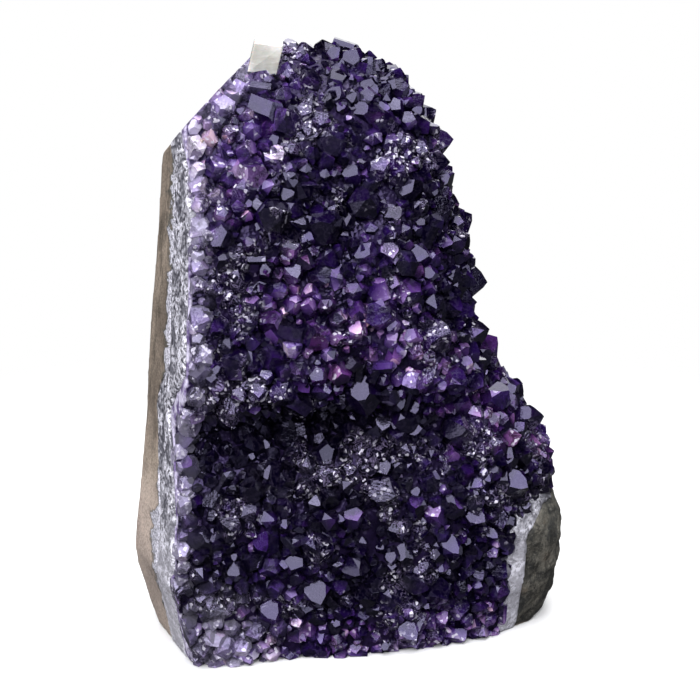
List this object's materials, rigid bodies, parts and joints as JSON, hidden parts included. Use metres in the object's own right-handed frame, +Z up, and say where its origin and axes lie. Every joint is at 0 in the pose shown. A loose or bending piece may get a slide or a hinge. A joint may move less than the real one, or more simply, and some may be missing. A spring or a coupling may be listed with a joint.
{
  "type": "amethyst cluster",
  "caption": "Free-standing geode section on a sawn foot: basalt backing, pale chalcedony rim, dense dark violet quartz points and a white calcite crystal.",
  "frame": {"origin": "middle of the bounding box, on the plane of the sawn foot", "axes": "+Z up from the foot to the top of the stone, -Y out of the crystal face, +X to the right along the face"},
  "size_m": [0.117, 0.081, 0.1592],
  "materials": {
    "basalt": "sawn and rubbed on the left side, rough on the back",
    "chalcedony": "fine-grained, satin",
    "amethyst_bed": "glassy crystal faces",
    "amethyst": "glassy crystal faces",
    "calcite": "translucent, pearly"
  },
  "bodies": {
    "root": {"amethyst_bed": "amethyst_bed", "amethyst_point_01": "amethyst", "amethyst_point_02": "amethyst", "amethyst_point_03": "amethyst", "amethyst_point_04": "amethyst", "amethyst_point_05": "amethyst", "amethyst_point_06": "amethyst", "amethyst_point_07": "amethyst", "amethyst_point_08": "amethyst", "amethyst_point_09": "amethyst", "amethyst_point_10": "amethyst", "amethyst_point_11": "amethyst", "amethyst_point_12": "amethyst", "amethyst_point_13": "amethyst", "amethyst_point_14": "amethyst", "amethyst_point_15": "amethyst", "amethyst_point_16": "amethyst", "amethyst_point_17": "amethyst", "amethyst_point_18": "amethyst", "amethyst_point_19": "amethyst", "amethyst_point_20": "amethyst", "amethyst_point_21": "amethyst", "amethyst_point_22": "amethyst", "amethyst_point_23": "amethyst", "amethyst_point_24": "amethyst", "amethyst_point_25": "amethyst", "amethyst_point_26": "amethyst", "amethyst_point_27": "amethyst", "amethyst_point_28": "amethyst", "amethyst_point_29": "amethyst", "amethyst_point_30": "amethyst", "amethyst_point_31": "amethyst", "amethyst_point_32": "amethyst", "amethyst_point_33": "amethyst", "amethyst_point_34": "amethyst", "amethyst_point_35": "amethyst", "amethyst_point_36": "amethyst", "amethyst_point_37": "amethyst", "amethyst_point_38": "amethyst", "amethyst_point_39": "amethyst", "amethyst_point_40": "amethyst", "amethyst_point_41": "amethyst", "amethyst_point_42": "amethyst", "amethyst_point_43": "amethyst", "amethyst_point_44": "amethyst", "amethyst_point_45": "amethyst", "amethyst_point_46": "amethyst", "amethyst_point_47": "amethyst", "amethyst_point_48": "amethyst", "basalt_matrix": "basalt", "calcite_crystal": "calcite", "chalcedony_rim": "chalcedony"}
  },
  "joints": []
}
